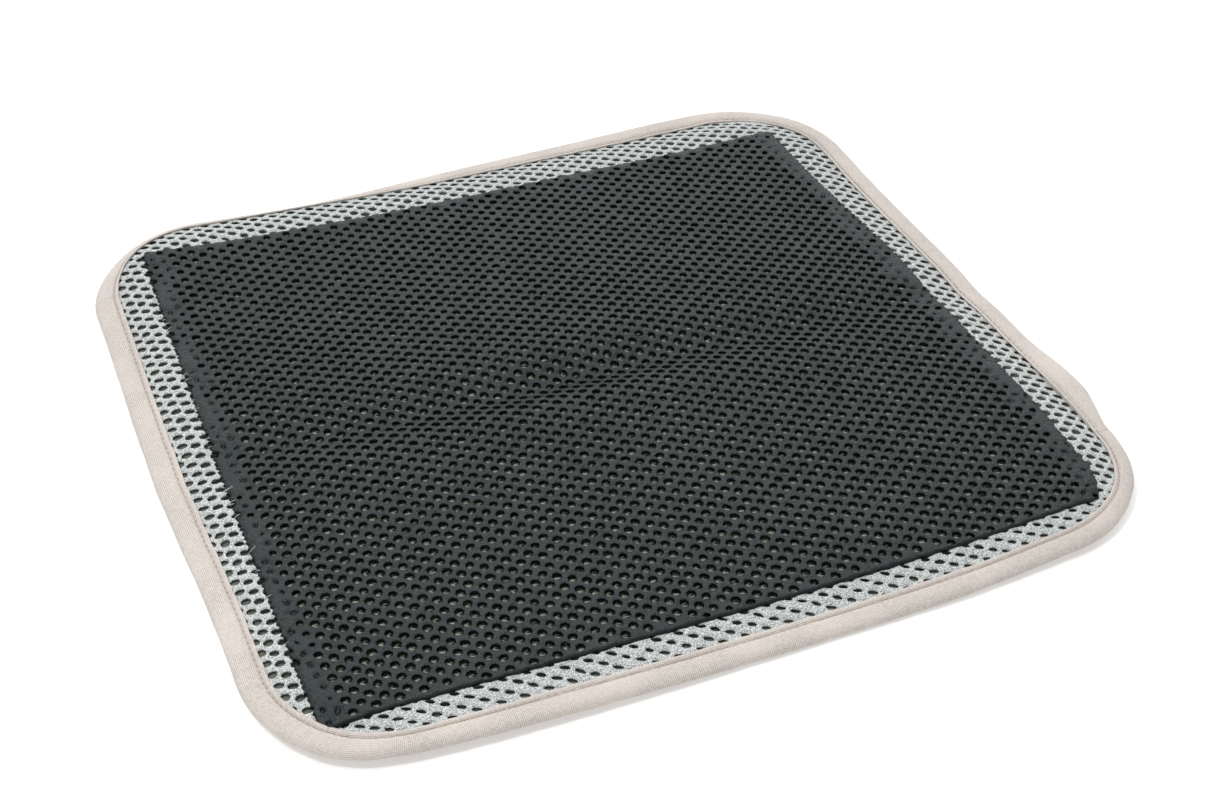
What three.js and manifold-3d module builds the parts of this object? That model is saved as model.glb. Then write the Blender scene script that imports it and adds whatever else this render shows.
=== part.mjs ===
// Kneeling pad: a nearly square, limp mat that is sewn from flat layers and bound round its edge.
// Millimetres, +Z up. The pad lies with its rubber grip side up. The origin is the middle of its
// outline, on the plane that it rests on.
//
// From the bottom up the layers are the woven cover fabric, the foam sheet, the three yarn systems
// of the knitted spacer mesh (back, spacer yarns, face) and the rubber grip coating. A folded tape
// wraps the layers' rims, and a lockstitch seam of two threads holds the tape.

import * as THREE from "three";
import { mergeVertices } from "three/addons/utils/BufferGeometryUtils.js";
import Module from "manifold-3d";

// ---- Driving dimensions ----

const WIDTH = 403; // whole pad along X
const DEPTH = 383; // whole pad along Y
const CORNER_RADIUS = 61;

const TAPE = {
  cloth: 0.8, // two thicknesses of woven cloth, since the tape's raw edges are turned in
  width: 12, // how far each flap reaches in from the outline
  height: 5.2, // over the rolled edge
  stitchInset: 9.6, // from the outline to the seam
  grooveWidth: 1.2,
  grooveDepth: 0.5,
};

// Where the tape's turned end lies over its start, on the right edge.
const TAPE_JOIN = { low: -116, high: -86, reach: 8 };

const THREAD_DIAMETER = 0.36;

// From the bottom up: each layer's thickness in the field of the pad and where the tape squeezes it.
const LAYERS = [
  { name: "cover_fabric", field: 0.6, rim: 0.4 },
  { name: "foam_sheet", field: 2.4, rim: 0.8 },
  { name: "mesh_back", field: 0.5, rim: 0.4 },
  { name: "spacer_yarns", field: 2.0, rim: 0.7 },
  { name: "mesh_face", field: 0.8, rim: 0.6 },
];
const LAYER_GAP = 0.1;
const LAYER_INSET = 3; // from the outline to the layers' cut edges, inside the roll
const FIELD_INSET = 20; // where the layers have their full thickness again

// The coated panel, which sits a little askew in the outline.
const GRIP = { width: 352, depth: 324, corner: 3, thickness: 0.6, y: -4, turnDegrees: -1.2 };

const OUTLINE_DIVISIONS = 5; // a corner takes twice as many segments
const SECTION_DIVISIONS = 4;

// The tape's turned end makes the right edge one cloth thicker, so the rest moves left by half.
const OUTLINE_WIDTH = WIDTH - TAPE.cloth;
const CENTRE_X = -TAPE.cloth / 2;

// ---- Materials ----

function finish(color, roughness) {
  return new THREE.MeshStandardMaterial({ color, roughness, metalness: 0 });
}

const MATERIALS = {
  cover_fabric: finish("#d9cfc5", 0.9),
  foam_sheet: finish("#e9e5da", 0.95),
  mesh_back: finish("#6f756b", 0.9),
  spacer_yarns: finish("#a9aea6", 0.8),
  mesh_face: finish("#cbd0ce", 0.85),
  grip_coating: finish("#404344", 0.5),
  binding_tape: finish("#d8cfc6", 0.9),
  needle_thread: finish("#c9bbae", 0.7),
  bobbin_thread: finish("#c9bbae", 0.7),
};

// ---- Shapes ----

// A rectangle with round corners about the origin, drawn anticlockwise.
function roundedRectangle(width, depth, radius) {
  const x = width / 2 - radius;
  const y = depth / 2 - radius;
  const quarter = Math.PI / 2;
  const shape = new THREE.Shape();
  shape.absarc(x, y, radius, 0, quarter);
  shape.absarc(-x, y, radius, quarter, 2 * quarter);
  shape.absarc(-x, -y, radius, 2 * quarter, 3 * quarter);
  shape.absarc(x, -y, radius, 3 * quarter, 4 * quarter);
  return shape;
}

// The points of a closed shape, without a last one that repeats the first.
function closedPoints(shape, divisions) {
  const points = shape.getPoints(divisions);
  if (points[0].distanceTo(points.at(-1)) < 1e-6) points.pop();
  return points;
}

// The pad's outline, moved in by inset.
function outlinePoints(inset) {
  const outline = roundedRectangle(
    OUTLINE_WIDTH - 2 * inset,
    DEPTH - 2 * inset,
    CORNER_RADIUS - inset,
  );
  return closedPoints(outline, OUTLINE_DIVISIONS);
}

// Carries a section round the pad's outline. The section is a list of (inset, z) points that runs
// outwards underneath, up, and back inwards on top. A closed section makes a ring, and an open one
// gets a flat cap underneath and on top.
function sweepRoundOutline(section, closed) {
  const rings = section.map(({ x: inset }) => outlinePoints(inset));
  const count = rings[0].length;
  const positions = rings.flatMap((ring, k) => ring.flatMap((p) => [p.x, p.y, section[k].y]));
  const faces = [];
  const bands = closed ? rings.length : rings.length - 1;
  for (let k = 0; k < bands; k++) {
    const here = k * count;
    const next = ((k + 1) % rings.length) * count;
    for (let i = 0; i < count; i++) {
      const j = (i + 1) % count;
      faces.push(here + i, here + j, next + j, here + i, next + j, next + i);
    }
  }
  if (!closed) {
    const top = (rings.length - 1) * count;
    THREE.ShapeUtils.triangulateShape(rings[0], []).forEach(([a, b, c]) => faces.push(a, c, b));
    THREE.ShapeUtils.triangulateShape(rings.at(-1), []).forEach(([a, b, c]) =>
      faces.push(top + a, top + b, top + c),
    );
  }
  const geometry = new THREE.BufferGeometry();
  geometry.setAttribute("position", new THREE.Float32BufferAttribute(positions, 3));
  geometry.setIndex(faces);
  return geometry;
}

// ---- Joining solids ----

const wasm = await Module();
wasm.setup();

function toSolid(geometry) {
  const bare = geometry.clone();
  bare.deleteAttribute("normal");
  bare.deleteAttribute("uv");
  const merged = mergeVertices(bare, 1e-3);
  return new wasm.Manifold(
    new wasm.Mesh({
      numProp: 3,
      vertProperties: merged.attributes.position.array,
      triVerts: new Uint32Array(merged.index.array),
    }),
  );
}

function joined(a, b) {
  const mesh = toSolid(a).add(toSolid(b)).getMesh();
  const geometry = new THREE.BufferGeometry();
  geometry.setAttribute("position", new THREE.BufferAttribute(mesh.vertProperties, 3));
  geometry.setIndex(new THREE.BufferAttribute(mesh.triVerts, 1));
  return geometry;
}

// ---- Sub-parts ----

// A cloth or foam layer: full thickness in the field, squeezed thin inside the tape.
function layerGeometry(rimLow, rimThickness, fieldLow, fieldThickness) {
  const rimHigh = rimLow + rimThickness;
  const section = [
    new THREE.Vector2(FIELD_INSET, fieldLow),
    new THREE.Vector2(TAPE.width, rimLow),
    new THREE.Vector2(LAYER_INSET, rimLow),
    new THREE.Vector2(LAYER_INSET, rimHigh),
    new THREE.Vector2(TAPE.width, rimHigh),
    new THREE.Vector2(FIELD_INSET, fieldLow + fieldThickness),
  ];
  return sweepRoundOutline(section, false);
}

// The layers, stacked from the bottom up.
function layerMeshes() {
  let fieldLow = 0;
  let rimLow = TAPE.cloth + LAYER_GAP;
  const meshes = LAYERS.map(({ name, field, rim }) => {
    const mesh = new THREE.Mesh(layerGeometry(rimLow, rim, fieldLow, field), MATERIALS[name]);
    mesh.name = name;
    fieldLow += field + LAYER_GAP;
    rimLow += rim + LAYER_GAP;
    return mesh;
  });
  return { meshes, top: fieldLow };
}

// The rubber that is laid on the middle of the mesh face.
function gripCoating(low) {
  const outline = roundedRectangle(GRIP.width, GRIP.depth, GRIP.corner);
  const geometry = new THREE.ExtrudeGeometry(outline, {
    depth: GRIP.thickness,
    bevelEnabled: false,
    curveSegments: SECTION_DIVISIONS,
  });
  const mesh = new THREE.Mesh(geometry, MATERIALS.grip_coating);
  mesh.name = "grip_coating";
  mesh.position.set(-CENTRE_X, GRIP.y, low);
  mesh.rotation.z = THREE.MathUtils.degToRad(GRIP.turnDegrees);
  return mesh;
}

// The folded tape's section: a round nose, two flaps, and a groove in each flap for the stitches.
function tapeSection() {
  const { cloth, width, height, stitchInset, grooveWidth, grooveDepth } = TAPE;
  const nose = height / 2;
  const slope = grooveDepth / 2;
  const grooveIn = stitchInset + grooveWidth / 2;
  const grooveOut = stitchInset - grooveWidth / 2;
  const section = new THREE.Path();
  section.moveTo(width, 0);
  section.lineTo(grooveIn + slope, 0);
  section.lineTo(grooveIn, grooveDepth);
  section.lineTo(grooveOut, grooveDepth);
  section.lineTo(grooveOut - slope, 0);
  section.absarc(nose, nose, nose, -Math.PI / 2, Math.PI / 2, true);
  section.lineTo(grooveOut - slope, height);
  section.lineTo(grooveOut, height - grooveDepth);
  section.lineTo(grooveIn, height - grooveDepth);
  section.lineTo(grooveIn + slope, height);
  section.lineTo(width, height);
  section.lineTo(width, height - cloth);
  section.absarc(nose, nose, nose - cloth, Math.PI / 2, (3 * Math.PI) / 2, false);
  section.lineTo(width, cloth);
  return closedPoints(section, SECTION_DIVISIONS);
}

// The tape's turned end, which lies over the tape's start round the nose of the right edge.
function tapeEnd() {
  const { cloth, height } = TAPE;
  const nose = height / 2;
  const buried = cloth / 2;
  const shape = new THREE.Shape();
  shape.moveTo(-nose, 0);
  shape.lineTo(0, 0);
  shape.absarc(0, nose, nose + cloth, -Math.PI / 4, Math.PI / 2, false);
  shape.lineTo(nose - TAPE_JOIN.reach + buried, height + cloth);
  shape.lineTo(nose - TAPE_JOIN.reach, height - buried);
  shape.lineTo(0, height - buried);
  shape.absarc(0, nose, nose - buried, Math.PI / 2, -Math.PI / 2, true);
  shape.lineTo(-nose, buried);
  const geometry = new THREE.ExtrudeGeometry(shape, {
    depth: TAPE_JOIN.high - TAPE_JOIN.low,
    bevelEnabled: false,
    curveSegments: 2 * SECTION_DIVISIONS,
  });
  geometry.rotateX(Math.PI / 2);
  geometry.translate(OUTLINE_WIDTH / 2 - nose, TAPE_JOIN.high, 0);
  return geometry;
}

function bindingTape() {
  const ring = sweepRoundOutline(tapeSection(), true);
  const mesh = new THREE.Mesh(joined(ring, tapeEnd()), MATERIALS.binding_tape);
  mesh.name = "binding_tape";
  return mesh;
}

// One thread of the lockstitch seam, lying in its groove.
function seamThread(name, z) {
  const radius = THREAD_DIAMETER / 2;
  const round = new THREE.Path();
  round.absarc(TAPE.stitchInset, z, radius, 0, 2 * Math.PI, true);
  const section = closedPoints(round, SECTION_DIVISIONS - 1);
  const mesh = new THREE.Mesh(sweepRoundOutline(section, true), MATERIALS[name]);
  mesh.name = name;
  return mesh;
}

// ---- The pad ----

const seamDepth = TAPE.grooveDepth / 2;
const layers = layerMeshes();
const pad = new THREE.Group();
pad.add(...layers.meshes);
pad.add(gripCoating(layers.top));
pad.add(bindingTape());
pad.add(seamThread("needle_thread", TAPE.height - seamDepth));
pad.add(seamThread("bobbin_thread", seamDepth));
pad.position.x = CENTRE_X;

export default pad;
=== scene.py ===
import math

import bmesh
import bpy
import numpy as np
from mathutils import Matrix, Vector
from mathutils.geometry import delaunay_2d_cdt


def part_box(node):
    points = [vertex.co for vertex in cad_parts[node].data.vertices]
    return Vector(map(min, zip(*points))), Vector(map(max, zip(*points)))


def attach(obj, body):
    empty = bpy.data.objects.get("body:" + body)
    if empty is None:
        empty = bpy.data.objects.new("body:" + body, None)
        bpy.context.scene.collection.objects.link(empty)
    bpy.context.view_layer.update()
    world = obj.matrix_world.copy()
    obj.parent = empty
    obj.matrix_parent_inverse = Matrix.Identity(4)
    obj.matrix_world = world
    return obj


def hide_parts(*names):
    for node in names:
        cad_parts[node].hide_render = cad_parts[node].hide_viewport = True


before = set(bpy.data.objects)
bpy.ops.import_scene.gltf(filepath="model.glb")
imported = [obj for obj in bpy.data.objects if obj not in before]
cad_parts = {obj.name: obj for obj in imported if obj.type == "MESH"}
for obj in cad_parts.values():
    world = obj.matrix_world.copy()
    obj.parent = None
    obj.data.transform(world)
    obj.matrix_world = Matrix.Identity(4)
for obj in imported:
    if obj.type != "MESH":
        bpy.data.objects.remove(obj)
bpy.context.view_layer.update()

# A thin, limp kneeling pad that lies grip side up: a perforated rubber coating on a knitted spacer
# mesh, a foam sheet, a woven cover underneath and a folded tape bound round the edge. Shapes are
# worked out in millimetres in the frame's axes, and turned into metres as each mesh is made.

MM = 0.001
RNG = np.random.default_rng(7)

# ---- Sizes that the CAD model shares ----

LAYER_INSET = 3  # from the outline to the layers' cut edges
CORNER_RADIUS = 61
TAPE_WIDTH = 12  # of each flap, from the outline inwards
TAPE_HEIGHT = 5.2
TAPE_CLOTH = 0.8  # thickness of the tape's cloth
STITCH_INSET = 9.6
LAYER_GAP = 0.1
# From the bottom up: thickness in the field and where the tape squeezes the layer.
THICKNESS = {
    "cover_fabric": (0.6, 0.4),
    "foam_sheet": (2.4, 0.8),
    "mesh_back": (0.5, 0.4),
    "spacer_yarns": (2.0, 0.7),
    "mesh_face": (0.8, 0.6),
}
# The coated panel lies a little askew.
PANEL_TURN = math.radians(-1.2)
PANEL_HALF = (176, 162)

cover_low, cover_high = (np.array(corner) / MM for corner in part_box("cover_fabric"))
grip_low, grip_high = (np.array(corner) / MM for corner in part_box("grip_coating"))
CENTRE = (cover_low + cover_high)[:2] / 2
HALF = (cover_high - cover_low)[:2] / 2 + LAYER_INSET
PANEL_CENTRE = (grip_low + grip_high)[:2] / 2
GRIP_TOP = grip_high[2]

# ---- Camera ----


def add_camera():
    """The camera, which looks down at the pad from the front left."""
    at = Vector((-0.2668, -0.6239, 0.5281))
    right = Vector((0.9196, -0.3927, 0.0141)).normalized()
    forward = Vector((0.3150, 0.7154, -0.6237)).normalized()
    up = right.cross(forward).normalized()
    data = bpy.data.cameras.new("camera")
    data.lens = 55
    data.sensor_width = 36
    camera = bpy.data.objects.new("camera", data)
    bpy.context.scene.collection.objects.link(camera)
    turn = Matrix((right, up, -forward)).transposed()
    camera.matrix_world = Matrix.Translation(at) @ turn.to_4x4()
    bpy.context.scene.camera = camera


add_camera()

# ---- Where the pad lies ----


def smooth(t):
    """0 below 0, 1 above 1, and a smooth step between them."""
    t = np.clip(t, 0, 1)
    return t * t * (3 - 2 * t)


def hill(x, y, at, size):
    """A round hill of height 1 whose widths along X and Y are size."""
    return np.exp(-0.5 * (((x - at[0]) / size[0]) ** 2 + ((y - at[1]) / size[1]) ** 2))


def inset_of(x, y):
    """How far a point lies inside the outline."""
    over_x = np.abs(x - CENTRE[0]) - (HALF[0] - CORNER_RADIUS)
    over_y = np.abs(y - CENTRE[1]) - (HALF[1] - CORNER_RADIUS)
    outside = np.hypot(np.maximum(over_x, 0), np.maximum(over_y, 0))
    return CORNER_RADIUS - outside - np.minimum(np.maximum(over_x, over_y), 0)


# The limp pad's gentle waves: place, widths and height of each hill or hollow.
WAVES = [
    ((-5, -4), (85, 45), 4.4),
    ((35, -189), (85, 45), -3.8),
    ((-50, 186), (60, 35), -4.2),
    ((-90, 194), (75, 30), 5.8),
    ((-115, 96), (60, 50), -2.0),
    ((-195, 181), (30, 30), 5.0),
    ((-200, -24), (25, 50), -3.0),
    ((185, 146), (35, 35), 3.0),
    ((185, -124), (40, 40), 1.7),
]

# Where the bound edge turns down towards its nose, or up: place, reach and drop. A drop below 0
# turns the edge up.
DROOPS = [
    ((-95, 191), (45, 40), 7.5),
    ((-188, 172), (30, 30), 9.0),
    ((-10, 191), (60, 40), 1.0),
    ((120, 191), (30, 40), -1.6),
    ((201, 0), (40, 45), 1.4),
    ((186, -168), (30, 30), 2.0),
]

# Where the soft edge is pulled out of true: place, reach and sideways shift.
PULLS = [
    ((-200, -95), (14, 45), (2.0, 0.0)),
    ((-186, -172), (24, 24), (2.0, 0.3)),
    ((-140, -200), (45, 18), (0.0, 3.2)),
    ((-152, -194), (16, 12), (0.0, 2.4)),
    ((135, -196), (28, 14), (0.0, 3.0)),
    ((203, 12), (12, 40), (1.8, 0.0)),
    ((190, -150), (20, 28), (-2.0, 0.6)),
    ((203, -138), (8, 32), (-2.6, 0.0)),
    ((20, -202), (110, 18), (0.0, 2.2)),
    ((180, -184), (34, 16), (-0.8, 4.4)),
    ((-202, 10), (16, 60), (-1.8, 0.0)),
]


def crease(x, y):
    """The fold across the middle, left from when the pad was folded in half."""
    across = y - (-6.5 - 0.022 * x)
    depth = 1.0 + 4.6 * np.exp(-0.5 * ((x + 5) / 85) ** 2)
    width = np.where(across < 0, 8.5, 9.5)
    return -depth * np.exp(-0.5 * (across / width) ** 2)


def waves(x, y):
    """Height of the limp pad's waves and fold."""
    z = crease(x, y)
    for at, size, height in WAVES:
        z = z + height * hill(x, y, at, size)
    return z


def droop(x, y):
    """How far the bound edge turns down from the waves. Its nose turns down the most."""
    turned = np.clip(1 - inset_of(x, y) / TAPE_WIDTH, 0, 1.3)
    return sum(drop * hill(x, y, at, size) * turned for at, size, drop in DROOPS)


def rest_height():
    """How high the waves lift the pad's zero level, so that its lowest stretch touches the floor."""
    x, y = np.meshgrid(np.linspace(-185, 185, 120), np.linspace(-175, 175, 120))
    return -waves(x, y).min()


BASE = rest_height()
FLOOR_EASE = 0.5  # points that would lie lower than this ease towards the floor


def laid(points):
    """Points of the flat pad where they lie, with its waves, and nothing under the floor."""
    points = np.array(points, float)
    for at, size, shift in PULLS:
        points[:, :2] += np.array(shift) * hill(points[:, 0], points[:, 1], at, size)[:, None]
    x, y, z = points.T
    z = z + BASE + waves(x, y) - droop(x, y)
    eased = FLOOR_EASE * np.exp(np.minimum(z / FLOOR_EASE - 1, 0))
    points[:, 2] = np.where(z < FLOOR_EASE, eased, z)
    return points


# ---- Layer levels ----


def layer_levels():
    """Each layer's bottom and thickness, in the field and at the rim."""
    levels = {}
    field = 0.0
    rim = TAPE_CLOTH + LAYER_GAP
    for name, (thick, squeezed) in THICKNESS.items():
        levels[name] = (field, thick, rim, squeezed)
        field += thick + LAYER_GAP
        rim += squeezed + LAYER_GAP
    return levels


LEVELS = layer_levels()
RISE_START = TAPE_WIDTH - 2  # inset at which the layers start to swell from the tape's squeeze
RISE = 14  # how much further in they reach their full thickness
KNIT_TOP = LEVELS["mesh_face"][0] + THICKNESS["mesh_face"][0]


def at_level(name, xy, share):
    """Flat points of a layer: share is 0 at its underside and 1 at its top."""
    field, thick, rim, squeezed = LEVELS[name]
    full = smooth((inset_of(xy[:, 0], xy[:, 1]) - RISE_START) / RISE)
    low = rim + (field - rim) * full
    z = low + share * (squeezed + (thick - squeezed) * full)
    return np.column_stack([xy, z])


# ---- Mesh making ----


class Shape:
    """Points in millimetres and faces, gathered bit by bit."""

    def __init__(self):
        self.points = []
        self.faces = []
        self.count = 0

    def add(self, points):
        """Adds points, and returns the number of the first."""
        start = self.count
        self.points.append(np.asarray(points, float))
        self.count += len(points)
        return start

    def band(self, first, second, n):
        """Quads between two loops of n points, which start at first and second."""
        for i in range(n):
            j = (i + 1) % n
            self.faces.append((first + i, first + j, second + j, second + i))

    def piece(self, name, material):
        """The finished object, laid in place, with its faces pointing out."""
        points = laid(np.concatenate(self.points))
        mesh = bpy.data.meshes.new(name)
        mesh.from_pydata((points * MM).tolist(), [], self.faces)
        work = bmesh.new()
        work.from_mesh(mesh)
        bmesh.ops.recalc_face_normals(work, faces=work.faces)
        work.to_mesh(mesh)
        work.free()
        mesh.shade_smooth()
        mesh.materials.append(material)
        made = bpy.data.objects.new(name, mesh)
        bpy.context.scene.collection.objects.link(made)
        return made


def fill(loops, inner):
    """Points and triangles inside the first loop and outside the others, with the inner points
    used as corners. The loops' points come first, in order, then the inner ones."""
    points = np.concatenate(list(loops) + [inner]) if len(inner) else np.concatenate(loops)
    edges, areas, start = [], [], 0
    for loop in loops:
        n = len(loop)
        areas.append(list(range(start, start + n)))
        edges += [(start + i, start + (i + 1) % n) for i in range(n)]
        start += n
    corners = [Vector(p) for p in points.tolist()]
    found = delaunay_2d_cdt(corners, edges, areas, 0, 1e-4, True)
    places, _, triangles, sources, _, owners = found
    index = {}
    extra = []  # points where two edges cross
    for k, source in enumerate(sources):
        if source:
            index[k] = source[0]
        else:
            index[k] = len(points) + len(extra)
            extra.append(list(places[k]))
    kept = [
        tuple(index[v] for v in triangle)
        for triangle, owner in zip(triangles, owners)
        if list(owner) == [0]
    ]
    if extra:
        points = np.concatenate([points, np.array(extra)])
    return points, kept


def ring(at, radius, stretch, sides, lean=0.0):
    """A loop round a hole, stretched a little along a line at the angle lean from X."""
    angle = 2 * math.pi * (np.arange(sides) + 0.5) / sides
    long = radius * (1 + stretch) * np.cos(angle)
    short = radius * (1 - stretch) * np.sin(angle)
    c, s = math.cos(lean), math.sin(lean)
    return np.column_stack([at[0] + c * long - s * short, at[1] + s * long + c * short])


def rounded_outline(inset, step):
    """The pad's outline moved in by inset, as points about step apart."""
    count = int(PERIMETER / step)
    x, y, nx, ny = walk(np.arange(count) * PERIMETER / count)
    return np.column_stack([x - inset * nx, y - inset * ny])


def walk_knots():
    """Knots of the outline by distance from the middle of the right edge, anticlockwise: the
    direction of the outward normal and the middle of the corner's arc."""
    x, y = HALF - CORNER_RADIUS
    arc = math.pi / 2 * CORNER_RADIUS
    lengths = [0, y, arc, 2 * x, arc, 2 * y, arc, 2 * x, arc, y]
    quarter = math.pi / 2
    heading = [0, 0, 1, 1, 2, 2, 3, 3, 4, 4]
    arc_x = [x, x, x, -x, -x, -x, -x, x, x, x]
    arc_y = [0, y, y, y, y, -y, -y, -y, -y, 0]
    return np.cumsum(lengths), np.array(heading) * quarter, np.array(arc_x), np.array(arc_y)


KNOTS = walk_knots()
PERIMETER = KNOTS[0][-1]


def walk(distance):
    """Points and outward normals of the outline at distances along it."""
    along, heading, arc_x, arc_y = KNOTS
    s = np.mod(distance, PERIMETER)
    angle = np.interp(s, along, heading)
    nx, ny = np.cos(angle), np.sin(angle)
    x = CENTRE[0] + np.interp(s, along, arc_x) + CORNER_RADIUS * nx
    y = CENTRE[1] + np.interp(s, along, arc_y) + CORNER_RADIUS * ny
    return x, y, nx, ny


def ripple(s, seed, lengths):
    """A smooth wander along the outline with waves of about the lengths given. It closes on
    itself after a whole turn."""
    rng = np.random.default_rng(seed)
    total = 0
    for length in lengths:
        turns = round(PERIMETER / length)
        for k in (-2, 0, 3):
            phase = rng.uniform(0, 2 * math.pi)
            total = total + np.sin(2 * math.pi * (turns + k) * s / PERIMETER + phase)
    return total / (3 * len(lengths)) ** 0.5


# ---- The holes of the spacer mesh ----

# From a hole to its neighbours in the same row and in the next one.
HOLE_ROW = np.array([9.658, 0.264])
HOLE_STEP = np.array([5.114, -3.140])
FIRST_HOLE = np.array([-6.2, -99.3])
HOLE_RADIUS = 1.68
HOLE_SCATTER = 0.13
LAST_HOLE_INSET = 7.5  # the holes nearer to the outline are lost under the tape


def hole_lattice():
    """Every hole of the knit inside the outline, as the knitting machine spaces them."""
    i, j = np.meshgrid(np.arange(-60, 61), np.arange(-110, 111))
    at = FIRST_HOLE + i.ravel()[:, None] * HOLE_ROW + j.ravel()[:, None] * HOLE_STEP
    return at[inset_of(at[:, 0], at[:, 1]) > LAST_HOLE_INSET]


LATTICE = hole_lattice()
HOLES = LATTICE + RNG.normal(0, HOLE_SCATTER, LATTICE.shape)
# Where the knit's ropes cross between the holes of a row.
CROSSINGS = HOLES + HOLE_ROW / 2
# Halfway between neighbouring holes, where the webs are highest.
RIDGES = np.concatenate([LATTICE + v / 2 for v in (HOLE_ROW, HOLE_STEP, HOLE_ROW - HOLE_STEP)])


def in_panel(xy):
    """Points in the coated panel's own axes."""
    x, y = (xy - PANEL_CENTRE).T
    c, s = math.cos(PANEL_TURN), math.sin(PANEL_TURN)
    return np.column_stack([c * x + s * y, -s * x + c * y])


def from_panel(uv):
    """Points given in the coated panel's own axes, in the pad's."""
    u, v = uv.T
    c, s = math.cos(PANEL_TURN), math.sin(PANEL_TURN)
    return np.column_stack([c * u - s * v, s * u + c * v]) + PANEL_CENTRE


def panel_right(v):
    """The coated panel's right edge, which runs a little outwards to the front and in again at
    the corner."""
    short_at_back = 9.4
    outwards = 8.5 * smooth((PANEL_HALF[1] - v) / 142)
    in_again = 3.5 * smooth((-136 - v) / 26)
    return PANEL_HALF[0] - short_at_back + outwards - in_again


def panel_front(u):
    """The coated panel's front edge, which runs a little outwards to the left."""
    outwards = 4.0 * smooth((PANEL_HALF[0] - u) / (2 * PANEL_HALF[0]))
    return -PANEL_HALF[1] - outwards


def panel_margins(xy):
    """How far points lie inside the coated panel, as a row for its left, right, front and back
    edge."""
    u, v = in_panel(xy).T
    return np.array([u + PANEL_HALF[0], panel_right(v) - u, v - panel_front(u), PANEL_HALF[1] - v])


def panel_depth(xy):
    """How far points lie inside the coated panel, from its nearest edge."""
    return panel_margins(xy).min(axis=0)


def clear_of_edges(xy, gap):
    """The points that lie more than gap inside the coated panel."""
    return xy[panel_depth(xy) > gap]


def teeth(t, seed, pitch, height):
    """How far a ragged edge stands out at places t along it: uneven teeth about pitch apart."""
    rng = np.random.default_rng(seed)
    count = int((t.max() - t.min()) / pitch) + 3
    knots = t.min() + (np.arange(2 * count) / 2 + rng.uniform(-0.16, 0.16, 2 * count)) * pitch
    levels = np.where(np.arange(2 * count) % 2, 1.0, -1.0) * rng.uniform(0.3, 1.0, 2 * count)
    fine = rng.normal(0, 0.16, len(t))
    return height * (np.interp(t, knots, levels) + fine)


def bitten(u, v, inward):
    """A side edge's points, drawn in round the knit's holes that lie on it. inward is 1 at the
    left edge and -1 at the right."""
    radius = 1.45
    farthest_out, farthest_in = -2.2, 1.1
    for hole_u, hole_v in in_panel(HOLES):
        near = np.abs(v - hole_v) < radius
        if not near.any():
            continue
        past = (hole_u - np.mean(u[near])) * inward
        if not farthest_out < past < farthest_in:
            continue
        chord = np.sqrt(radius**2 - (v[near] - hole_v) ** 2)
        u[near] = inward * np.maximum(inward * u[near], inward * hole_u + chord)
    return u


def panel_corner(at, radius, start):
    """A round corner of the panel, anticlockwise from the angle start."""
    angle = start + np.linspace(0, math.pi / 2, 10)
    return np.column_stack([at[0] + radius * np.cos(angle), at[1] + radius * np.sin(angle)])


RIGHT_CORNER = 8.0  # radius of the coated panel's front right corner
LEFT_CORNER = 6.0  # and of its front left one


def panel_front_side(left, right, front):
    """The panel's front edge and the rounded corner at its right end."""
    u = np.arange(left + LEFT_CORNER + 1, right - RIGHT_CORNER, 0.9)
    side = np.column_stack([u, panel_front(u) + teeth(u, 11, 9.0, 0.35)])
    middle = (right - RIGHT_CORNER, front + RIGHT_CORNER)
    return [side, panel_corner(middle, RIGHT_CORNER, -math.pi / 2)]


def panel_left_side(left, back):
    """The panel's left edge, from the back, and the rounded corner at its front end."""
    middle = (left + LEFT_CORNER, panel_front(left) + LEFT_CORNER)
    v = np.arange(back - 1.4, middle[1] + 0.8, -0.6)
    u = bitten(left + teeth(-v, 14, 3.3, 0.75), v, 1)
    return [np.column_stack([u, v]), panel_corner(middle, LEFT_CORNER, -math.pi)]


def panel_outline():
    """The coated panel's outline, anticlockwise from its front left corner."""
    left, front = -PANEL_HALF[0], -PANEL_HALF[1]
    back = PANEL_HALF[1]
    sides = panel_front_side(left, panel_right(front), front)
    v = np.arange(front + RIGHT_CORNER + 1, back - 1, 0.6)
    u = bitten(panel_right(v) + teeth(v, 12, 3.3, 0.75), v, -1)
    sides.append(np.column_stack([u, v]))
    u = np.arange(panel_right(back) - 1.2, left + 1.2, -0.8)
    sides.append(np.column_stack([u, back + teeth(-u, 13, 4.8, 0.45)]))
    sides += panel_left_side(left, back)
    return from_panel(np.concatenate(sides))


# ---- The rubber coating ----

# A hole's rings from its rim down: share of the hole's radius and level below the top skin.
OPEN_HOLE = [(1.34, -0.16), (1.06, -0.5), (1.0, -1.45)]
DIMPLE = [(1.25, -0.12), (0.5, -1.0)]
WIDEST_RIM = 2.45  # keeps neighbouring holes apart
SKIN_LEVEL = -0.46  # below this the rubber is a hole's wall and not its top skin


def add_hole(shape, rings, levels, start, sides, bottom_start=None):
    """Bands from a hole's loop in the top skin, down its wall. The wall ends at a loop in the
    bottom skin, or in a small closed floor."""
    previous = start
    for loop, level in zip(rings[1:], levels[1:]):
        last = loop is rings[-1]
        if last and bottom_start is not None:
            here = bottom_start
        else:
            here = shape.add(np.column_stack([loop, np.full(sides, level)]))
        shape.band(previous, here, sides)
        previous = here
    if bottom_start is None:
        shape.faces.append(tuple(previous + i for i in range(sides)))


def loop_starts(outline, loops):
    """The number of each loop's first point, when the loops follow the outline."""
    sizes = [len(loop) for loop in loops]
    return len(outline) + np.concatenate([[0], np.cumsum(sizes)[:-1]]).astype(int)


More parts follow.
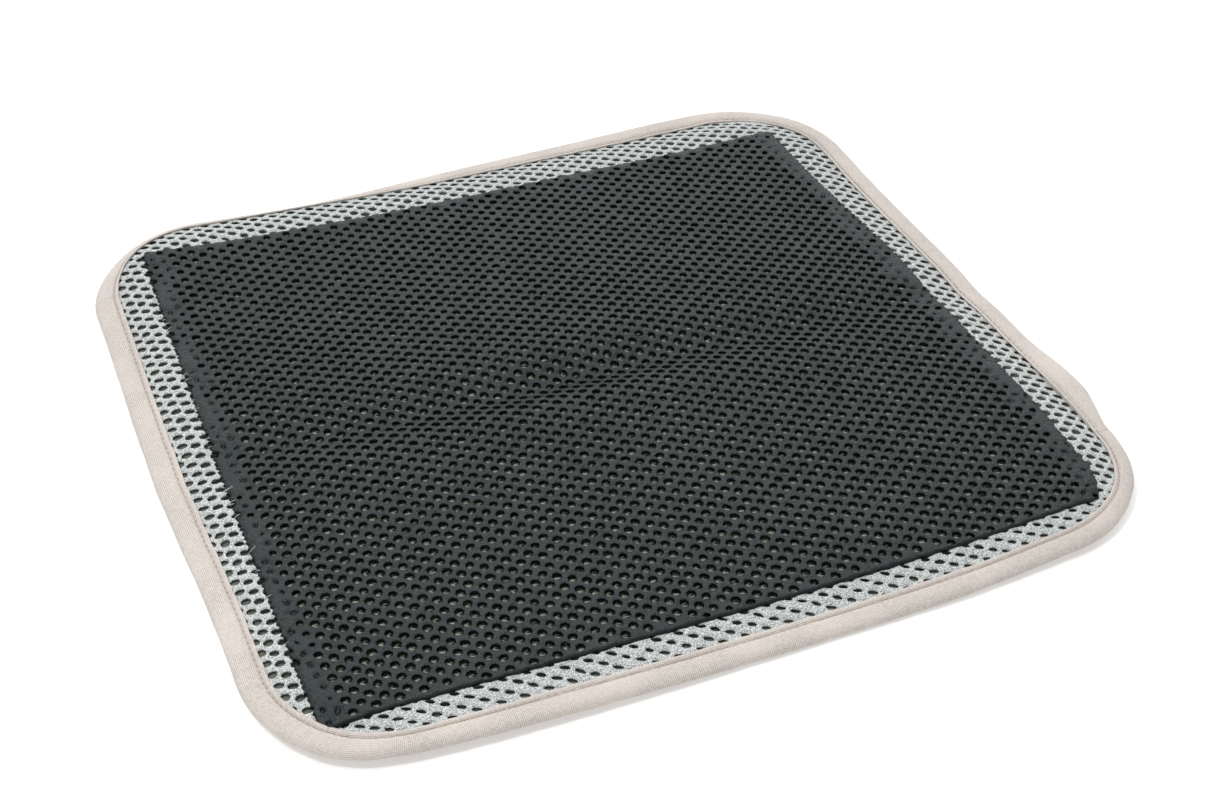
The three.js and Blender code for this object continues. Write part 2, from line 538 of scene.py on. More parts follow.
def perforated(outline, holes, crests, edge_level, crest_level, under_level, roughness):
    """A sheet with holes. holes is a list of (rings, levels, is_open), and levels are heights
    from the top skin. roughness is how unevenly high the webs between the holes are. Returns the
    shape, still flat."""
    shape = Shape()
    rims = [rings[0] for rings, _, _ in holes]
    top, faces = fill([outline] + rims, crests)
    z = crest_level + RNG.normal(0, roughness, len(top))
    z[: len(outline)] = edge_level
    starts = loop_starts(outline, rims)
    for (_, levels, _), rim, start in zip(holes, rims, starts):
        z[start : start + len(rim)] = levels[0]
    shape.add(np.column_stack([top, z]))
    shape.faces += faces
    opened = [k for k, (_, _, is_open) in enumerate(holes) if is_open]
    exits = [holes[k][0][-1] for k in opened]
    under, under_faces = fill([outline] + exits, crests[:0])
    z = np.full(len(under), under_level)
    under_starts = loop_starts(outline, exits)
    for k, loop, start in zip(opened, exits, under_starts):
        z[start : start + len(loop)] = holes[k][1][-1]
    offset = shape.add(np.column_stack([under, z]))
    shape.faces += [(a + offset, c + offset, b + offset) for a, b, c in under_faces]
    shape.band(0, offset, len(outline))
    bottoms = dict(zip(opened, under_starts + offset))
    for k, (rings, levels, _) in enumerate(holes):
        add_hole(shape, rings, levels, starts[k], len(rims[k]), bottoms.get(k))
    return shape


def coating_hole(at, left, right, front, back):
    """One hole of the coating, open or filled to a dimple, from its distances to the edges."""
    thickly_coated = max(smooth((12 - left) / 4), smooth((13 - right) / 6))
    radius = HOLE_RADIUS * RNG.normal(1, 0.06) * (1 - 0.12 * smooth(at[1] / 150))
    stretch = RNG.normal(0.03, 0.05)
    lean = RNG.uniform(-1.5, 1.5)
    chance = RNG.random()
    profile = OPEN_HOLE
    if chance < 0.8 * thickly_coated:
        profile = DIMPLE
        radius *= RNG.uniform(0.4, 1.1)
        stretch = RNG.uniform(0.1, 0.35)
    elif thickly_coated > 0.3:
        radius *= RNG.uniform(0.55, 0.85)
    if min(left, right, front, back) < radius * 1.5 + 0.5:
        radius *= 0.75
    radius = min(radius, WIDEST_RIM / (profile[0][0] * (1 + abs(stretch))))
    rings = [ring(at, radius * share, stretch, 7, lean) for share, _ in profile]
    sink = RNG.normal(0, 0.05)
    levels = [level + sink for _, level in profile]
    return rings, levels, profile is OPEN_HOLE


def coating_holes():
    """The coating's holes: open over most of the panel, and filled to dimples in the bands along
    the left and right edges, where the rubber went on thickly. Holes too near an edge are left
    out."""
    holes = []
    for at, (left, right, front, back) in zip(HOLES, panel_margins(HOLES).T):
        if min(left, right) >= 3.6 and front >= 2.6 and back >= 2.4:
            holes.append(coating_hole(at, left, right, front, back))
    return holes


def grip_coating(material):
    """The rubber panel: a satin skin that runs down the walls of the knit's holes."""
    outline = panel_outline()
    crests = clear_of_edges(RIDGES, 2.4)
    rim = from_panel(in_panel(outline) * (1 - 0.9 / np.array(PANEL_HALF)))
    crests = np.concatenate([crests, clear_of_edges(rim, -0.6)])
    shape = perforated(outline, coating_holes(), crests,
                       edge_level=-0.7, crest_level=0.16, under_level=-1.1, roughness=0.06)
    level = np.concatenate([block[:, 2] for block in shape.points])
    for block in shape.points:
        left, _, front, _ = panel_margins(block[:, :2])
        lip = 0.6 * np.exp(-0.5 * ((front - 1.0) / 0.8) ** 2) * (block[:, 2] > -0.8)
        thick = smooth((12 - left) / 5) * (block[:, 2] > -0.6)
        squeezed = at_level("mesh_face", block[:, :2], 1.0)[:, 2] - KNIT_TOP
        block[:, 2] += lip + GRIP_TOP + squeezed + thick * RNG.normal(0, 0.13, len(block))
    made = shape.piece("grip_coating_skin", material)
    # top_skin is 1 on the top skin and 0 down the holes' walls, where the paint makes the rubber
    # glossy and paints it darker as painted shade
    store(made, "top_skin", smooth((level - SKIN_LEVEL) / 0.3))
    return made


def store(made, name, values):
    """Stores a value at each point for the materials."""
    layer = made.data.attributes.new(name, "FLOAT", "POINT")
    layer.data.foreach_set("value", values.astype(np.float32))


# ---- The spacer mesh ----

KNIT_THICK = THICKNESS["mesh_face"][0]
# Rings of the face knit's holes, as for the coating's: where they show, and under the coating.
KNIT_HOLE = [(1.12, -0.1), (1.0, -0.45), (0.98, -KNIT_THICK)]
COVERED_HOLE = [(1.3, -0.05), (1.22, -KNIT_THICK)]
WIDEST_KNIT_RIM = 2.6  # keeps neighbouring holes apart


def shown_hole(at):
    """A finely shaped hole of the face knit, which is tighter near the front edge."""
    sides = 10
    tight = smooth((-140 - at[1]) / 30)
    stretch = RNG.normal(0.14 + 0.2 * tight, 0.05)
    radius = HOLE_RADIUS * RNG.normal(1.24 - 0.27 * tight, 0.05)
    radius = min(radius, WIDEST_KNIT_RIM / (KNIT_HOLE[0][0] * (1 + stretch)))
    lean = RNG.normal(-0.42, 0.1)
    wobble = RNG.normal(0, 0.08, (sides, 2))
    rings = []
    for share, _ in KNIT_HOLE:
        loop = ring(at, radius * share, stretch, sides, lean)
        rings.append(loop + wobble + RNG.normal(0, 0.04, loop.shape))
    return rings, [level for _, level in KNIT_HOLE], True


def covered_hole(at):
    """A plain hole of the face knit, wide enough for the coating's walls."""
    rings = [ring(at, HOLE_RADIUS * share, 0.0, 6) for share, _ in COVERED_HOLE]
    return rings, [level for _, level in COVERED_HOLE], True


def knit_holes():
    """The face knit's holes, which are finely shaped only where the coating leaves them bare."""
    depths = panel_depth(HOLES)
    return [covered_hole(at) if depth > 0.8 else shown_hole(at) for at, depth in zip(HOLES, depths)]


def stray_yarns(shape):
    """A few ends of the knit's yarn that lie over the coating's left edge."""
    count = 22
    v = RNG.uniform(-150, 150, count)
    length = RNG.uniform(1.5, 4.0, count)
    lean = RNG.normal(0.25, 0.25, count)
    along = np.linspace(0, 1, 5)[None, :]
    u = -PANEL_HALF[0] - 0.8 + along * length[:, None]
    curl = RNG.normal(0, 0.5, (count, 1)) * along * (1 - along)
    side = v[:, None] + along * (length * lean)[:, None] + curl
    xy = from_panel(np.column_stack([u.ravel(), side.ravel()]))
    height = np.broadcast_to(GRIP_TOP - 0.25 + 0.5 * smooth(along / 0.4), u.shape)
    paths = np.column_stack([xy, height.ravel()]).reshape(count, 5, 3)
    add_tubes(shape, paths, [0.13, 0.15, 0.15, 0.14, 0.1], 5)


def mesh_face(material):
    """The light face knit, whose round ropes frame the holes."""
    outline = rounded_outline(LAYER_INSET, 2.0)
    crests = CROSSINGS[inset_of(*CROSSINGS.T) > 5.5]
    shape = perforated(outline, knit_holes(), crests,
                       edge_level=0.0, crest_level=0.06, under_level=-KNIT_THICK, roughness=0.03)
    blocks = []
    for block in shape.points:
        block[:, 2] += RNG.normal(0, 0.035, len(block))
        share = 1 + block[:, 2] / KNIT_THICK
        blocks.append(at_level("mesh_face", block[:, :2], share))
    shape.points = blocks
    stray_yarns(shape)
    return shape.piece("mesh_face_knit", material)


def plain_sheet(name, layer, step, material):
    """A whole layer as a closed sheet with points about step apart."""
    outline = rounded_outline(LAYER_INSET, step)
    grid = np.arange(-204, 204, step)
    x, y = np.meshgrid(grid, grid)
    inner = np.column_stack([x.ravel(), y.ravel()])
    inner = inner[inset_of(*inner.T) > LAYER_INSET + 0.7 * step]
    flat, faces = fill([outline], inner)
    shape = Shape()
    shape.add(at_level(layer, flat, 1.0))
    offset = shape.add(at_level(layer, flat, 0.0))
    shape.faces += faces
    shape.faces += [(a + offset, c + offset, b + offset) for a, b, c in faces]
    shape.band(0, offset, len(outline))
    return shape.piece(name, material)


def add_tubes(shape, paths, radii, sides):
    """Closed tubes, one along each path. paths is (tubes, points, 3), and radii holds a radius for
    each point along a path."""
    ahead = np.gradient(paths, axis=1)
    ahead /= np.linalg.norm(ahead, axis=2, keepdims=True)
    flat = np.abs(ahead[..., 2:]) < 0.9
    helper = np.where(flat, np.array([0.0, 0, 1]), np.array([1.0, 0, 0]))
    side = np.cross(ahead, helper)
    side /= np.linalg.norm(side, axis=2, keepdims=True)
    up = np.cross(side, ahead)
    angle = 2 * math.pi * np.arange(sides) / sides
    radii = np.asarray(radii)[None, :, None, None]
    loops = (
        paths[:, :, None, :]
        + radii * np.cos(angle)[None, None, :, None] * side[:, :, None, :]
        + radii * np.sin(angle)[None, None, :, None] * up[:, :, None, :]
    )
    tubes, count = paths.shape[:2]
    start = shape.add(loops.reshape(-1, 3))
    for t in range(tubes):
        first = start + t * count * sides
        for k in range(count - 1):
            shape.band(first + k * sides, first + (k + 1) * sides, sides)
        last = first + (count - 1) * sides
        shape.faces.append(tuple(first + i for i in range(sides)))
        shape.faces.append(tuple(last + i for i in range(sides)))


def spacer_yarns(material):
    """The slanted monofilaments that hold the two knits apart."""
    shape = Shape()
    feet = CROSSINGS[inset_of(*CROSSINGS.T) > 8]
    legs = 3
    for k in range(legs):
        direction = k * 2 * math.pi / legs + 0.5
        near = feet + 0.9 * np.array([math.cos(direction), math.sin(direction)])
        far = feet + 1.2 * np.array([math.cos(direction + 2.4), math.sin(direction + 2.4)])
        far = far + RNG.normal(0, 0.15, far.shape)
        low = at_level("spacer_yarns", near, -0.04)
        high = at_level("spacer_yarns", far, 1.04)
        add_tubes(shape, np.stack([low, high], axis=1), [0.09, 0.09], 3)
    add_crossing_yarns(shape)
    return shape.piece("spacer_yarn_pile", material)


# Yarns below each hole: how far off its middle, how far turned, and their level in the pile.
CROSSING_YARNS = [(-1.0, 0.3, 0.5), (0.05, -0.5, 0.75), (1.1, 0.1, 0.6)]
YARN_REACH = 2.3  # from a yarn's middle to its ends


def add_crossing_yarns(shape):
    """The pile's yarns that cross below the coating's holes and show as their pale bottoms."""
    coated = clear_of_edges(HOLES, 2.0)
    for offset, turn, share in CROSSING_YARNS:
        angle = turn + RNG.normal(0, 0.25, len(coated))
        along = np.column_stack([np.cos(angle), np.sin(angle)])
        across = np.column_stack([-np.sin(angle), np.cos(angle)])
        middle = coated + (offset + RNG.normal(0, 0.15, (len(coated), 1))) * across
        level = share + RNG.normal(0, 0.06, len(coated))
        start = at_level("spacer_yarns", middle - YARN_REACH * along, level - 0.1)
        end = at_level("spacer_yarns", middle + YARN_REACH * along, level + 0.1)
        add_tubes(shape, np.stack([start, end], axis=1), [0.3, 0.3], 3)


# ---- The bound edge ----

JOIN_Y = -88  # where the tape starts, under its own end
OVERLAP = 42
TAPE_STEP = 0.85  # between the mesh's rows along the tape
STITCH_PITCH = 3.4
NOSE_REACH = 4.2  # depth of the tape's round nose, from the outline in
TAPE_LENGTH = PERIMETER + OVERLAP

# Where the tape is pulled tighter round the edge: place, reach and how much narrower it is.
NARROWER = [((190, -165), (22, 26), 2.4)]


def groove(inset, depth):
    """How far the seam pulls the tape's cloth in."""
    return depth * np.exp(-((inset - STITCH_INSET) / 0.7) ** 2)


def tape_section():
    """The folded tape's section as (inset, height, skin) rows, where skin is 1 on the outside.
    It starts at the bottom flap's edge, goes round the nose and comes back inside the cloth."""
    flap = np.array([11.95, 11.4, 10.7, 10.1, 9.6, 9.1, 8.4, 7.2, 5.8])
    bend = np.radians(np.linspace(-78, 78, 10))
    half = TAPE_HEIGHT / 2
    rows = [(i, groove(i, 0.4), 1) for i in flap]
    rows += [(NOSE_REACH * (1 - math.cos(a)), half * (1 + math.sin(a)), 1) for a in bend]
    rows += [(i, TAPE_HEIGHT - groove(i, 0.8), 1) for i in flap[::-1]]
    lining = [11.8, 9.6, 6.0, 3.4]
    rows += [(i, TAPE_HEIGHT - TAPE_CLOTH - groove(i, 0.5), 0) for i in lining]
    rows += [(1.0, half, 0)]
    rows += [(i, TAPE_CLOTH + groove(i, 0.3), 0) for i in lining[::-1]]
    return np.array(rows)


def girth_of(section):
    """The way round the section from its first point to each point."""
    steps = np.hypot(np.diff(section[:, 0]), np.diff(section[:, 1]))
    return np.concatenate([[0], np.cumsum(steps)])


def seam_girth():
    """Where the top thread lies on the way round the section."""
    section = tape_section()
    on_top = (section[:, 0] == STITCH_INSET) & (section[:, 1] > TAPE_HEIGHT / 2) & (section[:, 2] == 1)
    return girth_of(section)[on_top][0]


def pulled_by_seam(s, inset, z, upper):
    """Puffs the tape between its seam and its nose, and dents it at each stitch. Returns how full
    the roll between them is at each point, and the new heights."""
    roll = np.clip(1 - np.abs(inset - 5.2) / 4.4, 0, 1)
    puff = 0.12 + 0.08 * ripple(s, 21, (60, 25))
    z = z + np.where(upper, puff[:, None] * smooth(roll), 0)
    stitch = 0.5 + 0.5 * np.cos(2 * math.pi * s / STITCH_PITCH)
    dent = np.where(upper, 1, -1) * np.exp(-((inset - STITCH_INSET) / 0.5) ** 2)
    return roll, z - 0.38 * dent * stitch[:, None]


def uneven(s, inset):
    """Lets the tape's flaps and nose wander a little from their true lines."""
    wander = 0.13 * ripple(s, 22, (90, 35, 14))
    inset = inset + wander[:, None] * smooth((inset - 6) / 5)
    bulge = 0.08 * ripple(s, 23, (45, 18))
    return inset - bulge[:, None] * np.clip(1 - inset / 6, 0, 1)


def tape_points():
    """The tape's grid of flat points, (steps, section points, 3), and how far along and across
    the cloth the grid's rows and columns lie."""
    count = int(TAPE_LENGTH / TAPE_STEP)
    run = np.linspace(0, TAPE_LENGTH, count)
    s = JOIN_Y - run
    x, y, nx, ny = walk(s)
    section = tape_section()
    inset = np.repeat(section[None, :, 0], count, 0)
    z = np.repeat(section[None, :, 1], count, 0)
    upper = (section[:, 1] > TAPE_HEIGHT / 2)[None, :]
    roll, z = pulled_by_seam(s, inset, z, upper)
    inset = uneven(s, inset)
    corner = smooth(np.sin(2 * np.arctan2(ny, nx)) ** 2 * 1.6 - 0.3)
    wrinkle = 0.16 * ripple(s, 24, (7, 4.5))
    slant = ripple(s, 25, (9, 6)) * 0.1
    z = z + np.where(upper, (wrinkle * corner)[:, None] * roll + (slant[:, None] * roll), 0)
    for at, size, narrower in NARROWER:
        inset = inset + (narrower * hill(x, y, at, size))[:, None] * np.clip(1 - inset / 9, 0, 1.3)
    inset, z = lapped_end(run, inset, z)
    points = np.stack([
        x[:, None] - inset * nx[:, None],
        y[:, None] - inset * ny[:, None],
        z,
    ], axis=2)
    return points, run, girth_of(section)


def lapped_end(run, inset, z):
    """Lifts the tape's last stretch over its start, and cuts its turned end on the slant."""
    left = (TAPE_LENGTH - run)[:, None]
    climb, slanted = 40, 28  # the lengths over which the tape climbs, and over which it is cut
    over = smooth((OVERLAP + 34 - left) / climb)
    outward = np.clip(1 - inset / 7, 0, 1)
    inset = inset - over * 4.0 * outward
    top = np.clip((z - TAPE_HEIGHT / 2) / TAPE_HEIGHT * 2, 0, 1)
    pressed = 1 - 0.8 * smooth((9 - left) / 8)
    z = z + over * pressed * (0.85 * top + 0.1)
    slant = np.clip((slanted - left) / slanted, 0, 1)
    inset = np.where(inset < 6, inset + slant * (6 - inset) * 0.66, inset)
    tucked_in = smooth((56 - run) / 24)[:, None]
    return inset + tucked_in * outward, z


def edge_binding(material):
    """The folded tape round the whole edge, one long strip whose turned end laps its start."""
    points, run, girth = tape_points()
    steps, across = points.shape[:2]
    shape = Shape()
    shape.add(points.reshape(-1, 3))
    for k in range(steps - 1):
        shape.band(k * across, (k + 1) * across, across)
    shape.faces.append(tuple(range(across)))
    last = (steps - 1) * across
    shape.faces.append(tuple(last + i for i in range(across)))
    made = shape.piece("edge_binding_tape", material)
    place = np.stack(np.broadcast_arrays(run[:, None], girth[None, :]), axis=2).reshape(-1, 2)
    add_cloth_place(made, place)
    return made


def add_cloth_place(made, place):
    """Stores where each point lies in the cloth before it was bent, in metres."""
    layer = made.data.uv_layers.new(name="cloth")
    loops = np.zeros(len(made.data.loops), np.int32)
    made.data.loops.foreach_get("vertex_index", loops)
    layer.data.foreach_set("uv", (place[loops] * MM).astype(np.float32).ravel())


def stitches(name, level, sink, material):
    """One thread of the seam, as the short lengths that show between the needle holes."""
    count = int(PERIMETER / STITCH_PITCH)
    middle = (np.arange(count) + 0.5) * PERIMETER / count
    middle = middle + RNG.normal(0, 0.08, count)
    along = np.array([-1.35, -1.1, -0.4, 0.4, 1.1, 1.35])
    height = np.array([-0.5, -0.08, 0.0, 0.0, -0.08, -0.5]) * sink
    x, y, nx, ny = walk(middle[:, None] + along[None, :])
    side = STITCH_INSET + RNG.normal(0, 0.06, (count, 1)) + 0.05 * along[None, :]
    z = np.broadcast_to(level + height[None, :], x.shape)
    paths = np.stack([x - side * nx, y - side * ny, z], axis=2)
    shape = Shape()
    add_tubes(shape, paths, [0.1, 0.17, 0.19, 0.19, 0.17, 0.1], 6)
    return shape.piece(name, material)


# ---- Materials ----


class Paint:
    """A node material, built one node at a time."""

    def __init__(self, name, roughness, specular, sheen=0.0):
        self.material = bpy.data.materials.new(name)
        self.material.use_nodes = True
        self.tree = self.material.node_tree
        self.tree.nodes.clear()
        output = self.tree.nodes.new("ShaderNodeOutputMaterial")
        self.shader = self.tree.nodes.new("ShaderNodeBsdfPrincipled")
        self.tree.links.new(self.shader.outputs[0], output.inputs[0])
        self.shader.inputs["Roughness"].default_value = roughness
        self.shader.inputs["Specular IOR Level"].default_value = specular
        self.shader.inputs["Sheen Weight"].default_value = sheen

    def node(self, kind, inputs=(), **settings):
        """A new node, with its settings and with a value or a link for each input named."""
        made = self.tree.nodes.new("ShaderNode" + kind)
        for key, value in settings.items():
            setattr(made, key, value)
        for socket, value in dict(inputs).items():
            self.join(value, made.inputs[socket])
        return made

    def join(self, value, socket):
        """Links the socket to value if it is a node's output, and otherwise sets it to value."""
        if isinstance(value, bpy.types.NodeSocket):
            self.tree.links.new(value, socket)
        else:
            socket.default_value = value

    def place(self):
        """Where a point lies, in metres."""
        return self.node("TexCoord").outputs["Object"]

    def noise(self, scale, detail, roughness=0.5):
        inputs = {"Scale": scale, "Detail": detail, "Roughness": roughness, "Vector": self.place()}
        return self.node("TexNoise", inputs).outputs["Fac"]

    def math(self, kind, a, b=0.0, c=0.0):
        return self.node("Math", {0: a, 1: b, 2: c}, operation=kind).outputs[0]

    def ramp(self, value, low, high, start=0.0, end=1.0):
        """value carried from low..high to start..end and held there."""
        inputs = {"Value": value, "From Min": low, "From Max": high, "To Min": start, "To Max": end}
        return self.node("MapRange", inputs).outputs[0]

    def mix(self, share, a, b):
        """The colour a where share is 0, and b where it is 1."""
        made = self.node("Mix", data_type="RGBA")
        self.join(share, made.inputs[0])
        self.join(a, made.inputs[6])
        self.join(b, made.inputs[7])
        return made.outputs[2]

    def colour(self, value):
        self.join(value, self.shader.inputs["Base Color"])

    def roughness(self, value):
        self.join(value, self.shader.inputs["Roughness"])

    def bump(self, height, distance, strength=1.0):
        inputs = {"Height": height, "Distance": distance, "Strength": strength}
        self.join(self.node("Bump", inputs).outputs[0], self.shader.inputs["Normal"])


def rgb(r, g, b):
    """A colour from sRGB values of 0 to 255."""
    linear = [v / 255 / 12.92 if v <= 10 else ((v / 255 + 0.055) / 1.055) ** 2.4 for v in (r, g, b)]
    return (*linear, 1.0)


def rubber_paint():
    """Satin black rubber with a fine grain and a little dust. In the holes it is glossy, and its walls
    are painted darker than the top skin: painted shade in the holes.
    """
    paint = Paint("grip_rubber", 0.42, 0.32)
    on_top = paint.node("Attribute", attribute_name="top_skin").outputs["Fac"]
    skin = paint.ramp(on_top, 0.3, 0.65)
    cloudy = paint.ramp(paint.noise(45.0, 3.0), 0.35, 0.65)
    top = paint.mix(cloudy, rgb(24, 34, 36), rgb(33, 43, 45))
    dusty = paint.ramp(paint.noise(900.0, 1.0), 0.74, 0.84, 0.0, 0.3)
    top = paint.mix(dusty, top, rgb(110, 114, 112))
    # painted shade: the holes' walls get near black rgb(2, 2, 2), much darker than the top skin's own
    # black
    paint.colour(paint.mix(skin, rgb(2, 2, 2), top))
    dull = paint.ramp(paint.noise(400.0, 2.0), 0.3, 0.7, 0.24, 0.36)
    paint.roughness(paint.math("MULTIPLY_ADD", skin, paint.math("SUBTRACT", dull, 0.09), 0.09))
    grain = paint.noise(2300.0, 3.0)
    swell = paint.noise(600.0, 2.0)
    height = paint.math("MULTIPLY_ADD", swell, 4.2, grain)
    calm = paint.ramp(on_top, 0.0, 1.0, 0.35, 1.0)
    paint.bump(paint.math("MULTIPLY", height, calm), 0.00026, 1.0)
    return paint.material


def face_knit_paint():
    """Cool light grey knit of fluffy loops."""
    paint = Paint("mesh_face_knit", 0.9, 0.25)
    loops = paint.node("TexVoronoi", {"Vector": paint.place(), "Scale": 1700.0}).outputs["Distance"]
    loops = paint.ramp(loops, 0.15, 0.75, 1.0, 0.0)
    fluff = paint.noise(1100.0, 3.0, roughness=0.6)
    shade = paint.math("MULTIPLY_ADD", fluff, 0.9, paint.math("MULTIPLY", loops, 0.5))
    paint.colour(paint.mix(paint.ramp(shade, 0.4, 0.95), rgb(148, 152, 156), rgb(251, 255, 251)))
    paint.bump(paint.math("MULTIPLY_ADD", fluff, 0.8, loops), 0.00032, 1.0)
    return paint.material


def back_knit_paint():
    """Olive grey back knit with fine ribs."""
    paint = Paint("mesh_back_knit", 0.85, 0.3)
    inputs = {"Vector": paint.place(), "Scale": 330.0, "Distortion": 4.0, "Detail": 2.0}
    ribs = paint.node("TexWave", inputs, bands_direction="Y").outputs["Fac"]
    tone = paint.math("MULTIPLY_ADD", paint.noise(600.0, 2.0), 0.5, paint.math("MULTIPLY", ribs, 0.5))
    paint.colour(paint.mix(tone, rgb(96, 101, 92), rgb(138, 142, 131)))
    paint.bump(ribs, 0.0003, 0.8)
    return paint.material


def pile_paint():
    """Clear grey monofilament."""
    paint = Paint("spacer_pile", 0.45, 0.5)
    tone = paint.noise(700.0, 1.0)
    paint.colour(paint.mix(tone, rgb(128, 131, 118), rgb(194, 197, 182)))
    paint.bump(tone, 0.00005, 0.5)
    return paint.material


def foam_paint():
    """Off-white open-cell foam."""
    paint = Paint("foam", 0.95, 0.2)
    cells = paint.node("TexVoronoi", {"Vector": paint.place(), "Scale": 1800.0}).outputs["Distance"]
    paint.colour(paint.mix(cells, rgb(214, 208, 194), rgb(243, 240, 230)))
    paint.bump(cells, 0.0003, 0.8)
    return paint.material


def weave(paint, place, pitch):
    """Height of a plain weave: crests in rows along both directions of place."""
    turned = paint.node("VectorRotate", {"Vector": place, "Angle": math.pi / 4}).outputs[0]
    axes = paint.node("SeparateXYZ", {0: turned}).outputs
    turn = math.pi / pitch
    one = paint.math("SINE", paint.math("MULTIPLY", axes[0], turn))
    two = paint.math("SINE", paint.math("MULTIPLY", axes[1], turn))
    return paint.math("MULTIPLY_ADD", paint.math("MULTIPLY", one, two), 0.5, 0.5)


def seam_shade(paint, place):
    """Painted shade along the seam: 1 on the tape's plain cloth, less along the seam's groove and
    least at its needle holes, where shade falls.
    """
    run, girth = paint.node("SeparateXYZ", {0: place}).outputs[:2]
    off = paint.math("ABSOLUTE", paint.math("SUBTRACT", girth, seam_girth() * MM))
    line = paint.ramp(off, 0.0, 0.0009, 0.1, 0.0)
    turns = paint.math("MULTIPLY_ADD", run, 2 * math.pi / (STITCH_PITCH * MM),
                       -2 * math.pi * JOIN_Y / STITCH_PITCH)
    pricked = paint.ramp(paint.math("COSINE", turns), 0.35, 0.9)
    holes = paint.math("MULTIPLY", pricked, paint.ramp(off, 0.0002, 0.0006, 0.45, 0.0))
    return paint.math("SUBTRACT", paint.math("SUBTRACT", 1.0, line), holes)


def woven_paint(name, place_of, pitch, dark, light, warm, shade_of=None):
    """Matte woven cloth: fine threads, slubs and a slight drift of colour, with painted shade from
    shade_of where it is given.
    """
    paint = Paint(name, 0.88, 0.25, 0.12)
    place = place_of(paint)
    threads = weave(paint, place, pitch)
    slubs = paint.noise(900.0, 3.0)
    shade = paint.math("MULTIPLY_ADD", slubs, 0.5, paint.math("MULTIPLY", threads, 0.6))
    cloth = paint.mix(paint.ramp(shade, 0.25, 0.85), dark, light)
    drift = paint.ramp(paint.noise(38.0, 2.0), 0.4, 0.65, 0.0, 0.45)
    cloth = paint.mix(drift, cloth, warm)
    # painted shade: a dark brown mixed in where shade_of puts the cloth in shade
    if shade_of:
        cloth = paint.mix(shade_of(paint, place), rgb(112, 92, 74), cloth)
    paint.colour(cloth)
    paint.bump(paint.math("MULTIPLY_ADD", slubs, 0.5, threads), 0.00022, 0.9)
    return paint.material


def cloth_uv(paint):
    """Where a point lies in the cloth before it was bent, in metres."""
    return paint.node("UVMap", uv_map="cloth").outputs[0]


def thread_paint():
    """Spun polyester sewing thread."""
    paint = Paint("seam_thread", 0.7, 0.4)
    twist = paint.noise(2600.0, 2.0)
    paint.colour(paint.mix(twist, rgb(184, 170, 158), rgb(222, 212, 202)))
    paint.bump(twist, 0.00006, 0.8)
    return paint.material


# ---- Floor and light ----


def add_floor():
    """A plain white floor, which glows a little so that it stays white."""
    paint = Paint("floor_white", 0.9, 0.1)
    paint.colour(rgb(232, 232, 231))
    paint.shader.inputs["Emission Color"].default_value = (1, 1, 1, 1)
    paint.shader.inputs["Emission Strength"].default_value = 0.3
    mesh = bpy.data.meshes.new("floor")
    edge = 6.0
    corners = [(-edge, -edge, 0), (edge, -edge, 0), (edge, edge, 0), (-edge, edge, 0)]
    mesh.from_pydata(corners, [], [(0, 1, 2, 3)])
    mesh.materials.append(paint.material)
    floor = bpy.data.objects.new("floor", mesh)
    bpy.context.scene.collection.objects.link(floor)


def add_lamp():
    """A small square lamp, above and to the left, that faces the pad."""
    at = Vector((-0.75, -0.2, 1.6))
    data = bpy.data.lights.new("left_small", "AREA")
    data.size = 0.26
    data.energy = 11
    lamp = bpy.data.objects.new("left_small", data)
    lamp.location = at
    lamp.rotation_euler = (-at).to_track_quat("-Z", "Y").to_euler()
    bpy.context.scene.collection.objects.link(lamp)


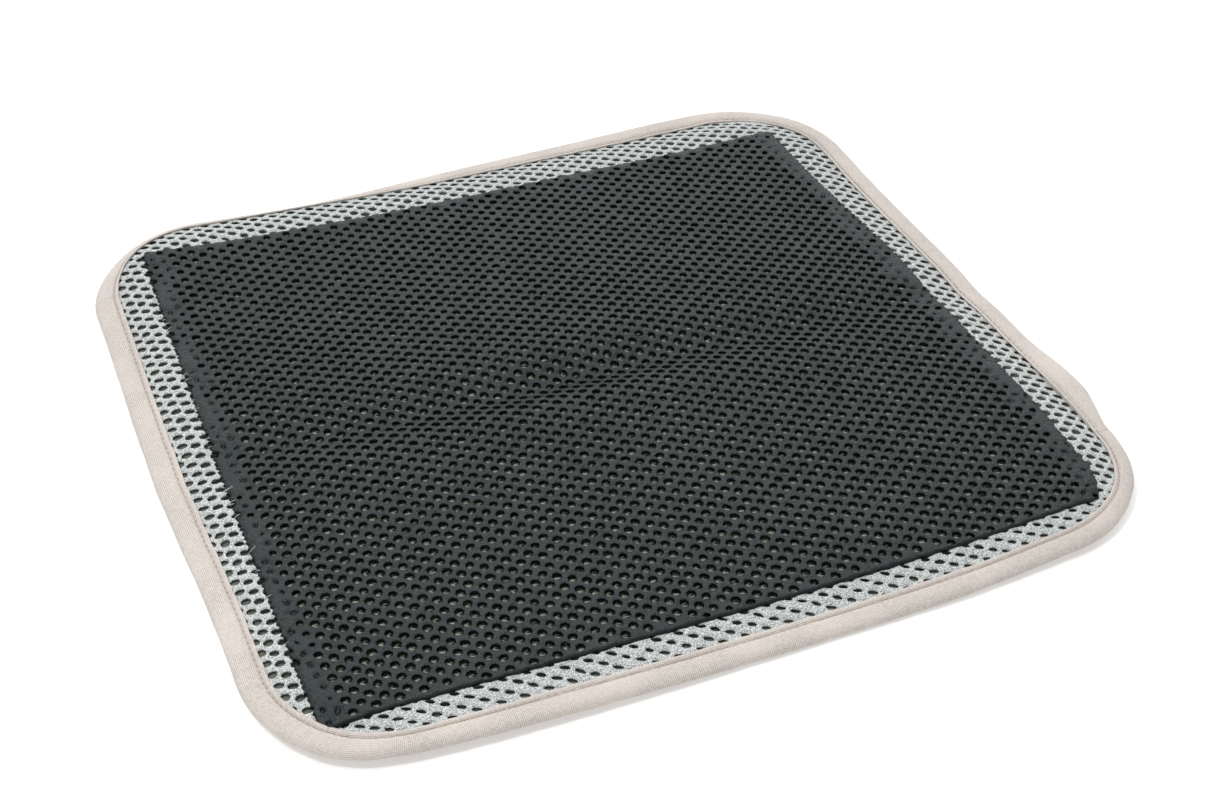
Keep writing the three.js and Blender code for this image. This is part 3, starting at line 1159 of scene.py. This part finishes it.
def add_world():
    """A white studio, bright overhead and behind the pad and dim on the camera's side."""
    world = bpy.data.worlds.new("studio")
    world.use_nodes = True
    tree = world.node_tree
    place = tree.nodes.new("ShaderNodeTexCoord")
    facing = tree.nodes.new("ShaderNodeVectorMath")
    facing.operation = "DOT_PRODUCT"
    brightest = Vector((0.27, 0.61, 0.75)).normalized()
    facing.inputs[1].default_value = brightest
    glow = tree.nodes.new("ShaderNodeMapRange")
    levels = {"From Min": 0.5, "From Max": 0.92, "To Min": 0.45, "To Max": 1.66}
    for socket, value in levels.items():
        glow.inputs[socket].default_value = value
    tree.links.new(place.outputs["Generated"], facing.inputs[0])
    tree.links.new(facing.outputs["Value"], glow.inputs["Value"])
    tree.nodes["Background"].inputs["Color"].default_value = (1, 1, 1, 1)
    tree.links.new(glow.outputs[0], tree.nodes["Background"].inputs["Strength"])
    bpy.context.scene.world = world


# ---- The pad ----


def make_pieces():
    """Every piece of the pad, from the bottom up, by the name of the CAD node it replaces. Each
    comes with the name of its material slot."""
    cover_cloth = woven_paint("cover_cloth", Paint.place, 0.00062,
                              rgb(186, 174, 163), rgb(226, 217, 207), rgb(214, 203, 193))
    cover = plain_sheet("cover_cloth", "cover_fabric", 4.0, cover_cloth)
    foam = plain_sheet("foam_sheet_pad", "foam_sheet", 6.0, foam_paint())
    back = plain_sheet("mesh_back_knit", "mesh_back", 3.5, back_knit_paint())
    pile = spacer_yarns(pile_paint())
    face = mesh_face(face_knit_paint())
    grip = grip_coating(rubber_paint())
    binding_cloth = woven_paint("binding_cloth", cloth_uv, 0.00056,
                                rgb(168, 159, 152), rgb(237, 230, 223), rgb(227, 217, 208),
                                seam_shade)
    tape = edge_binding(binding_cloth)
    thread = thread_paint()
    needle = stitches("needle_stitches", TAPE_HEIGHT - 0.42, 1, thread)
    bobbin = stitches("bobbin_stitches", 0.22, -1, thread)
    return {
        "cover_fabric": (cover, "cover_cloth"),
        "foam_sheet": (foam, "foam"),
        "mesh_back": (back, "mesh_back_knit"),
        "spacer_yarns": (pile, "spacer_pile"),
        "mesh_face": (face, "mesh_face_knit"),
        "grip_coating": (grip, "grip_rubber"),
        "binding_tape": (tape, "binding_cloth"),
        "needle_thread": (needle, "seam_thread"),
        "bobbin_thread": (bobbin, "seam_thread"),
    }


def build():
    """Makes the pad's pieces and ties each to the CAD model."""
    made = make_pieces()
    for node, (piece, slot) in made.items():
        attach(piece, "root")
        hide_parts(node)


build()
add_floor()
add_world()
add_lamp()
bpy.context.scene.view_settings.view_transform = "Standard"
